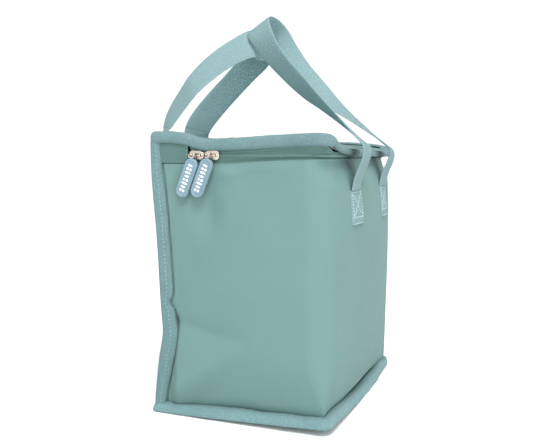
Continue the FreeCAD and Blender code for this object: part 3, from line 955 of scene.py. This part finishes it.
def coil(name, s_values, z_low, z_high, first, body):
    """Nylon coil turns along the rim, each a small rounded hook; the two coils take every other place."""
    line = rim(s_values, np.full(len(s_values), (z_low + z_high) / 2), 0.1)
    source = distances(line)
    even = interpolate(np.linspace(0, source[-1], int(source[-1] / COIL_PITCH)), source, line)
    up = np.array([0.0, 0.0, (z_high - z_low) / 2])
    places = []
    for point, t in list(zip(even, unit(np.gradient(even, axis=0))))[first::2]:
        out = unit(np.array([t[1], -t[0], 0.0]))
        out *= math.copysign(1.0, out[0] * point[0] / HALF_W + out[1] * point[1] / BACK_Y)
        places.append((point + out * 0.25, (up, t * 0.42, out * 0.85)))
    piece = scatter("zip_coil_" + name, bead(power=3.0), places)
    dress(piece, coil_nylon, body)
    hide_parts("zipper_coil_" + name)


def sewn_row(name, line, behind, slot_name, body, **thread_size):
    """Stitches along a line of the cloth, which face away from the line behind it."""
    row = stitches(name, line, line - behind, **thread_size)
    dress(row, stitch_thread, body)


def make_zipper():
    full = zip_path(CREASE_Y, CREASE_Y)
    lid_part = zip_path(PARKED_Y - 0.3, CREASE_Y - 0.3)
    parked = np.linspace(s_at(CREASE_Y), s_at(PARKED_Y), 40)
    lid_top, parked_top = [LID_TOP - ZIP_GAP + lid_shift(*outline(s, 0.0, CORNER_R)[:2])
                           for s in (lid_part, parked)]
    lid_top = np.maximum(lid_top, UPPER_TAPE_Z + 1.5)
    fold_z = WALL_TOP - curve(outline(full, 0.0, CORNER_R)[1], RIM_FOLD)
    ribbon("lower", full, fold_z - 0.6, LOWER_TAPE_TOP + 0.3, -0.35, 1.2, "bag")
    upper = (("upper", lid_part, lid_top, "lid"), ("parked", parked, parked_top, "bag"))
    for name, s_values, top, body in upper:
        ribbon(name, s_values, UPPER_TAPE_Z - 1.0, top, -0.1, 0.8, body, ZIP_SLANT)
    coil("lower", full, coil_low[2] - 0.2, coil_high[2] + 1.2, 0, "bag")
    for name, s_values, top, body in upper:
        coil(name, s_values, upper_coil_low[2] - 1.2, upper_coil_high[2] + 0.2, 1, body)
    for name, s_values, top, body in upper:
        z = np.maximum(top - 2.6, UPPER_TAPE_Z + 0.4)
        row_name = "zip_stitches_" + ("lid" if name == "upper" else name)
        sewn_row(row_name, rim(s_values, z, -0.1, 0.75), rim(s_values, z, 2.0), "zipper_tape", body,
                 pitch=2.2, length=1.3, width=0.5, height=0.4)
    seam = spans((0.08, 1, 60), (1, 2, 18), (2, 3, 70), (3, 4, 18), (4, 4.92, 60))
    z = WALL_TOP - curve(outline(seam, 0.0, CORNER_R)[1], RIM_FOLD) - 1.3
    sewn_row("rim_stitches", wall(seam, z), wall(seam, z, depth=2.0), "shell_fabric", "bag",
             pitch=2.8, length=1.8, width=0.4, height=0.3)
    for name, side in (("left", -1), ("right", 1)):
        end_tab(name, side)
        plate_metal("zipper_stop_" + name)


def end_tab(name, side):
    """The cloth patch behind the zipper's end, stitched along its edges, in a darkened copy of the shell
    cloth that paints the shade under the lid.
    """
    low = box_mm("zipper_tab_" + name)[0]
    y = np.linspace(low[1], BACK_Y - 1.0, 30)
    z = np.linspace(low[2] - 4.0, LID_TOP - 2.5, 26)
    yy, zz = np.meshgrid(y, z)
    edge = ramp(yy, low[1], low[1] + 1.2) * ramp(zz, z[0], z[0] + 1.0)
    swell = np.sin(math.pi * (yy - y[0]) / (y[-1] - y[0]))
    puff = 0.5 * swell + 0.2 * ripple(yy, zz, 14.0, 2.0)
    outer = np.stack([side * (HALF_W + 0.25 + 0.35 * edge + 0.5 * puff), yy, zz], -1)
    inner = np.stack([np.full_like(yy, side * (HALF_W - 0.6)), yy, zz], -1)
    piece = shell("zip_tab_" + name, outer, inner, outer[..., 1:])
    dress(piece, tab_cloth_painted_shade, "bag")
    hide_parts("zipper_tab_" + name)
    for part, line in (("low", outer[1, 1:-1]), ("front", outer[1:-1, 1])):
        sewn_row("tab_stitches_" + part + "_" + name, line, line - (side, 0.0, 0.0), "shell_fabric", "bag",
                 pitch=2.4, length=1.6, width=0.45)


# ---- sliders and pulls ----
def extruded(name, profile, x0, x1, bevel):
    """A plate in the Y-Z plane between two values of X, with rounded edges."""
    rings = np.array([[(x, y, z) for y, z in profile] for x in (x0, x1)])
    piece = loft(name, rings)
    rounded = piece.modifiers.new("rounded", "BEVEL")
    rounded.width = bevel * MM
    rounded.segments = 3
    rounded.limit_method = "ANGLE"
    return piece


def tube(name, points, radius, around=10, flat=1.0):
    """A round bar along a line of points."""
    points = np.asarray(points, float)
    tangent = unit(np.gradient(points, axis=0))
    side = np.cross(tangent, [0.0, 0.0, 1.0])
    upright = np.linalg.norm(side, axis=1) < 0.2
    side[upright] = np.cross(tangent[upright], [0.0, 1.0, 0.0])
    side = unit(side)
    up = np.cross(side, tangent)
    angle = np.linspace(0, math.tau, around, endpoint=False)[None, :, None]
    rings = points[:, None] + radius * (np.cos(angle) * side[:, None] + flat * np.sin(angle) * up[:, None])
    return loft(name, rings)


def join(name, parts):
    """Joins pieces into one mesh, with their modifiers applied."""
    graph = bpy.context.evaluated_depsgraph_get()
    points, faces = [], []
    for part in parts:
        mesh = part.evaluated_get(graph).to_mesh()
        start = len(points)
        points += [tuple(v.co / MM) for v in mesh.vertices]
        faces += [tuple(start + i for i in f.vertices) for f in mesh.polygons]
    for part in parts:
        bpy.data.objects.remove(part)
    return make_mesh(name, points, faces)


def shield(middle, z, half_l, half_h, nose):
    """Outline of a slider's plate, narrower towards the end where the coils part."""
    profile = []
    for angle in np.linspace(0, math.tau, 28, endpoint=False):
        c, s = math.cos(angle), math.sin(angle)
        y = math.copysign(abs(c) ** 0.5, c) * half_l
        waist = 0.80 + 0.20 * ramp(y * nose, -half_l, half_l * 0.6)
        profile.append((middle + y, z + math.copysign(abs(s) ** 0.6, s) * half_h * waist))
    return profile


def make_slider(name):
    """Slider body: shield-shaped plates with curled flanges, a post between them and an arched bail."""
    low, high = box_mm("slider_" + name)
    middle = (low[1] + high[1]) / 2
    z = (low[2] + high[2]) / 2 + 0.4
    half_l = (high[1] - low[1]) / 2
    half_h = (high[2] - low[2]) / 2 + 0.2
    nose = 1 if name == "rear" else -1
    plate = 1.1
    outer_x = -HALF_W - 0.45
    inner_x = -HALF_W + 2.2
    profile = shield(middle, z, half_l, half_h, nose)
    post_y = middle + nose * (half_l - 2.5)
    turn = np.linspace(0, math.tau, 12, endpoint=False)
    post = [(post_y + 1.2 * math.cos(a), z + 0.4 * math.sin(a)) for a in turn]
    parts = [extruded("plate_a", profile, outer_x - plate, outer_x, 0.4),
             extruded("plate_b", profile, inner_x, inner_x + plate, 0.4),
             extruded("post", post, outer_x - 0.2, inner_x + 0.2, 0.1)]
    for sign in (-1, 1):
        flange = [(outer_x - 0.4, middle - half_l * 0.62, z + sign * half_h * 0.84),
                  (outer_x + 0.1, middle, z + sign * half_h * 0.90),
                  (outer_x - 0.4, middle + half_l * 0.62, z + sign * half_h * 0.84)]
        parts.append(tube("flange", spline(flange, 12), 0.55))
    bail_x = low[0] + 0.45
    rise = ((outer_x - plate + 0.3, 4.6), (bail_x + 0.6, 4.4), (bail_x, 2.6))
    arch = [(x, middle - y, z) for x, y in rise] + [(bail_x, middle, z)]
    arch += [(x, middle + y, z) for x, y in rise[::-1]]
    parts.append(tube("bail", spline(arch, 36), 0.5, 12, 0.9))
    face_x = outer_x - plate
    for sign in (-1, 1):
        cup = [(face_x + 0.2, middle + sign * 4.6, z), (face_x - 0.9, middle + sign * 4.5, z)]
        parts.append(tube("cup", cup, 1.15, 14))
    piece = join("slider_body_" + name, parts)
    dress(piece, nickel, "slider_" + name)
    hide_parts("slider_" + name)
    for polygon in plate_metal("pull_link_" + name).data.polygons:
        polygon.use_smooth = True


def capsule_outline(half_width, half_length):
    """A long round-ended outline, as (across, along) pairs."""
    straight = half_length - half_width
    points = []
    for k in range(48):
        c, s = math.cos(math.tau * k / 48), math.sin(math.tau * k / 48)
        points.append((half_width * s, half_width * c + math.copysign(straight, c)))
    return np.array(points)


def make_grip(name):
    """Rubber pull: a rounded capsule with a shallow rim and a generic raised pattern on both faces."""
    low, high = box_mm("pull_grip_" + name)
    down = np.array([0.0, math.sin(GRIP_LEAN), -math.cos(GRIP_LEAN)])
    across = np.array([0.0, math.cos(GRIP_LEAN), math.sin(GRIP_LEAN)])
    centre = (low + high) / 2
    half_t = (high[0] - low[0]) / 2
    out = np.array([-half_t, 0.0, 0.0])
    half_l = ((high[2] - low[2]) / 2 - GRIP_HALF_W) / math.cos(GRIP_LEAN) + GRIP_HALF_W
    face_lift = 0.88
    half = ((1.0, 0.0), (1.0, 0.35), (1.0, 0.62), (0.92, 0.86), (0.84, 0.97), (0.80, 1.0), (0.74, 0.96),
            (0.70, face_lift), (0.45, face_lift), (0.12, face_lift))
    rings = []
    for scale, lift in [(a, -b) for a, b in half[:0:-1]] + list(half):
        inset = (1.0 - scale) * GRIP_HALF_W
        edge = capsule_outline(GRIP_HALF_W - inset, half_l - inset)
        rings.append(centre + edge[:, :1] * across + edge[:, 1:] * down + out * lift)
    piece = loft("grip_" + name, np.array(rings))
    dress(piece, pull_rubber, "pull_" + name)
    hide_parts("pull_grip_" + name)
    marks = []
    raised = np.array([-0.4, 0.0, 0.0])
    for face in (-1, 1):
        for k in range(8):
            place = centre + out * face * face_lift + down * (2.9 * (k - 3.5))
            if k % 3 == 1:
                marks += [(place + across * shift, (across, down, raised)) for shift in (-1.3, 1.3)]
            else:
                length = 2.6 if k % 3 else 2.0
                marks.append((place, (across * length, down * 0.8, raised)))
    pattern = scatter("grip_marks_" + name, bead(10, 7, 2.2), marks)
    dress(pattern, pull_mark, "pull_" + name)


# ---- handles ----
class Strap:
    """A handle's webbing from one foot over the loop to the other: centre line and the line across it."""

    def __init__(self, left, right, side):
        """left and right are half paths of (x, y, z, turn), from the foot up to the middle of the loop."""
        halves = []
        for half, mirror in ((left, 1), (right, -1)):
            half = np.array(half, float)
            path = half[:, :3] * (mirror, 1, 1)
            turn = half[:, 3:] if mirror > 0 else 180.0 - half[:, 3:]
            rise = unit(np.gradient(path, axis=0) * (0, 1, 1))
            halves.append(np.column_stack([path, rise, turn])[::mirror])
        fine = spline(np.concatenate(halves), 2400)
        source = distances(fine[:, :3])
        self.length = source[-1]
        self.at = np.linspace(0, self.length, int(self.length / 1.2))
        even = interpolate(self.at, source, fine)
        self.line = even[:, :3]
        self.tangent = unit(np.gradient(self.line, axis=0))
        rise = unit(even[:, 3:6])
        turn = np.radians(even[:, 6:])
        x_axis = np.array([side, 0.0, 0.0])
        across = x_axis * np.cos(turn) - np.cross(x_axis, rise) * np.sin(turn)
        across -= self.tangent * np.sum(across * self.tangent, axis=1)[:, None]
        self.across = unit(across)
        self.normal = np.cross(self.tangent, self.across) * side

    def piece(self, name, start, end):
        """The webbing between two distances along the strap."""
        keep = (self.at >= start) & (self.at <= end)
        w = np.sin(np.linspace(-1, 1, 13) * math.pi / 2) * WEB_HALF
        thick = WEB_THICK / 2 * np.sqrt(np.maximum(1 - np.abs(w / WEB_HALF) ** 10, 0.02))
        middle = self.line[keep][:, None] + self.across[keep][:, None] * w[:, None]
        proud = self.normal[keep][:, None] * thick[:, None]
        rings = np.concatenate([middle + proud, (middle - proud)[:, ::-1]], axis=1)
        around = np.concatenate([w, w[::-1]])
        return loft(name, rings, np.stack(np.broadcast_arrays(self.at[keep][:, None], around), -1))


def face_y(x, side, z):
    """Y of the panel's face under a strap."""
    straight = HALF_W - CORNER_R
    s = 2.0 + (x + straight) / (2 * straight) if side < 0 else 6.0 + (HALF_W - x) / (2 * HALF_W)
    return wall(s, z)[..., 1]


def stitched_end(name, side, x_middle, z_low, z_high):
    """The stitched end of a handle: webbing with a turned hem, and a box of stitches with a cross in it."""
    rows, columns = 76, 22
    z = np.linspace(z_low, z_high, rows)[:, None]
    w = np.linspace(-1, 1, columns)
    x = x_middle + w * WEB_HALF
    y = face_y(x, side, z)
    rib = 0.09 * np.cos(z * math.tau / RIB_PITCH)
    hem = 0.5 * (1 - ramp(z, z_low + 4.0, z_low + 6.0))
    edge = 1.0 - 0.6 * np.abs(w) ** 12
    proud = (0.9 + hem) * edge + rib + 0.25 * ripple(z, w * 12, 9.0, 1.0)
    face, back = [np.stack(np.broadcast_arrays(x, y + side * out, z), -1) for out in (proud, -0.4)]
    piece = shell(name, face, back, np.stack(np.broadcast_arrays(z, w * WEB_HALF), -1))
    dress(piece, webbing_rib, "bag")
    left, right = 2, columns - 3
    bottom, fold_row, top = 2, 16, rows - 6
    rows_of_thread = (((bottom, left), (bottom, right)), ((fold_row, left), (fold_row, right)),
                      ((top, right), (top, left)), ((fold_row, left), (top, left)),
                      ((fold_row, right), (top, right)), ((fold_row, left), (top, right)),
                      ((fold_row, right), (top, left)))
    threads = []
    for first, second in rows_of_thread:
        at = np.round(np.linspace(first, second, 30)).astype(int)
        line = face[at[:, 0], at[:, 1]] + (0, side * 0.15, 0)
        normal = np.tile([0.0, side, 0.0], (len(line), 1))
        threads.append(stitches("row", line, normal, pitch=2.0, length=1.5, width=0.55, height=0.4))
    dress(join(name + "_stitches", threads), webbing_thread, "bag")
    return piece


def make_handle(name, side, foot_x, left, right):
    """One handle: two stitched ends, two lower feet that bend at the stitching, and the loop between."""
    end_low, end_high = box_mm(name + "_strap_end_left")
    end_top = end_high[2] - 1.0
    for side_name, x in (("left", -foot_x), ("right", foot_x)):
        end = stitched_end(name + "_end_" + side_name, side, x, end_low[2], end_top)
        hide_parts(name + "_strap_end_" + side_name)
    strap = Strap(left, right, side)
    bend_end = box_mm(name + "_strap_foot_left")[0][2] + FOOT_BEND[name]
    above = strap.at[strap.line[:, 2] > bend_end]
    for side_name, start, end in (("left", 0.0, above[0]), ("right", above[-1], strap.length)):
        piece = strap.piece(name + "_foot_" + side_name, start, end)
        dress(piece, webbing_rib)
        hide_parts(name + "_strap_foot_" + side_name)
        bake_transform(piece)
    loop = strap.piece(name + "_loop", above[0], above[-1])
    dress(loop, webbing_rib)
    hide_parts(name + "_handle_loop")
    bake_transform(loop)


def foot_place(name, side):
    """X and Y of a handle's foot, where it leaves its stitching at height FOOT_TOP."""
    low, high = box_mm(name + "_strap_end_left")
    x = -(low[0] + high[0]) / 2
    return x, face_y(np.array([-x]), side, FOOT_TOP)[0] + side * 0.8


def make_handles():
    """Both handles: each half path leads from its foot to the middle of the loop, with the webbing's turn."""
    x, y = foot_place("front", -1)
    foot = ((-x, y, FOOT_TOP, 0), (-x, y - 1.0, FOOT_TOP + 9, 0), (-x, -86.0, 203, 0))
    loop = ((-22.3, 2.5, 291.2, 50), (-20.1, 19.6, 320.0, 88))
    left = ((-45.2, -87.5, 213.5, 0), (-45.2, -82.0, 218.5, 6), (-26.1, -42.7, 249.6, 24),
            (-22.2, -25.3, 262.7, 41))
    right = ((-44.0, -86.5, 211.5, -5), (-41.5, -80.0, 217.5, -11), (-26.1, -44.5, 247.0, 9),
             (-22.2, -25.3, 262.2, 38))
    make_handle("front", -1, x, foot + left + loop, foot + right + loop)
    x, y = foot_place("back", 1)
    near = ((-x, y, FOOT_TOP, 0), (-x, y + 1.0, FOOT_TOP + 10, 4), (-x + 2, 87.0, 203, 14),
            (-37, 97.6, 220, 30), (-34, 97.4, 236, 50), (-38, 74, 262, 58), (-37, 67, 270, 62),
            (-25, 50, 289, 68), (-16, 25, 303, 75), (-3, 22, 302, 84))
    far = ((-x, y, FOOT_TOP, 0), (-x + 1.7, y + 2.0, FOOT_TOP + 10, 10), (-35, 88.5, 203, 26),
           (-25, 99.3, 218, 36), (-20, 97, 232, 43), (-24, 82, 252, 46), (-28, 52, 282, 42),
           (-21, 33, 296, 56), (-3, 22, 302, 80))
    make_handle("back", 1, x, near, far)


# ---- stage, light and camera ----
def make_stage():
    reach, z = 6000.0, -0.6
    points = [(-reach, -reach, z), (reach, -reach, z), (reach, reach, z), (-reach, reach, z)]
    floor = make_mesh("floor", points, [(0, 1, 2, 3)])
    m = Material("floor_paper", 0.75)
    grain = m.noise(m.place(), 220.0, 3.0)
    tone = m.mix(grain, (0.925, 0.925, 0.925), (0.945, 0.945, 0.945))
    floor.data.materials.append(m.finish(tone, m.bump(grain, 0.05, 0.0002)))


def add_object(name, data, place, backward):
    """Adds a lamp or camera that looks against the backward direction."""
    thing = bpy.data.objects.new(name, data)
    thing.location = place
    thing.rotation_euler = (-backward).to_track_quat("-Z", "Y").to_euler()
    bpy.context.scene.collection.objects.link(thing)
    return thing


def make_light():
    """Even white surroundings and a soft key light from high up on the left, with true colours."""
    scene = bpy.context.scene
    scene.view_settings.view_transform = "Standard"
    world = bpy.data.worlds.new("studio")
    scene.world = world
    world.use_nodes = True
    background = world.node_tree.nodes["Background"]
    background.inputs["Color"].default_value = (1.0, 1.0, 1.0, 1.0)
    background.inputs["Strength"].default_value = 1.08
    key = ("key", (-0.85, -0.45, 1.5), 0.6, 22.0)
    fill = ("fill", (-1.25, -1.45, 0.30), 0.8, 14.0)
    for name, place, size, power in (key, fill):
        light = bpy.data.lights.new(name, "AREA")
        light.size = size
        light.energy = power
        add_object(name, light, place, Vector(place) - LIT_POINT)


def make_camera():
    azimuth, elevation = CAMERA_AZIMUTH, CAMERA_ELEVATION
    level = math.cos(elevation)
    back = Vector((-math.cos(azimuth) * level, -math.sin(azimuth) * level, math.sin(elevation)))
    camera = bpy.data.cameras.new("camera")
    camera.sensor_width = 36.0
    camera.lens = 48.02
    camera.clip_start = 0.01
    bpy.context.scene.camera = add_object("camera", camera, CAMERA_TARGET + back * CAMERA_DISTANCE, back)


make_camera()
make_stage()
make_light()
make_walls()
make_base()
make_wall_lining()
base_tape()
lid_tape()
corner_tape("left", -1)
corner_tape("right", 1)
make_lid()
make_zipper()
for which in ("rear", "front"):
    make_slider(which)
    make_grip(which)
make_handles()
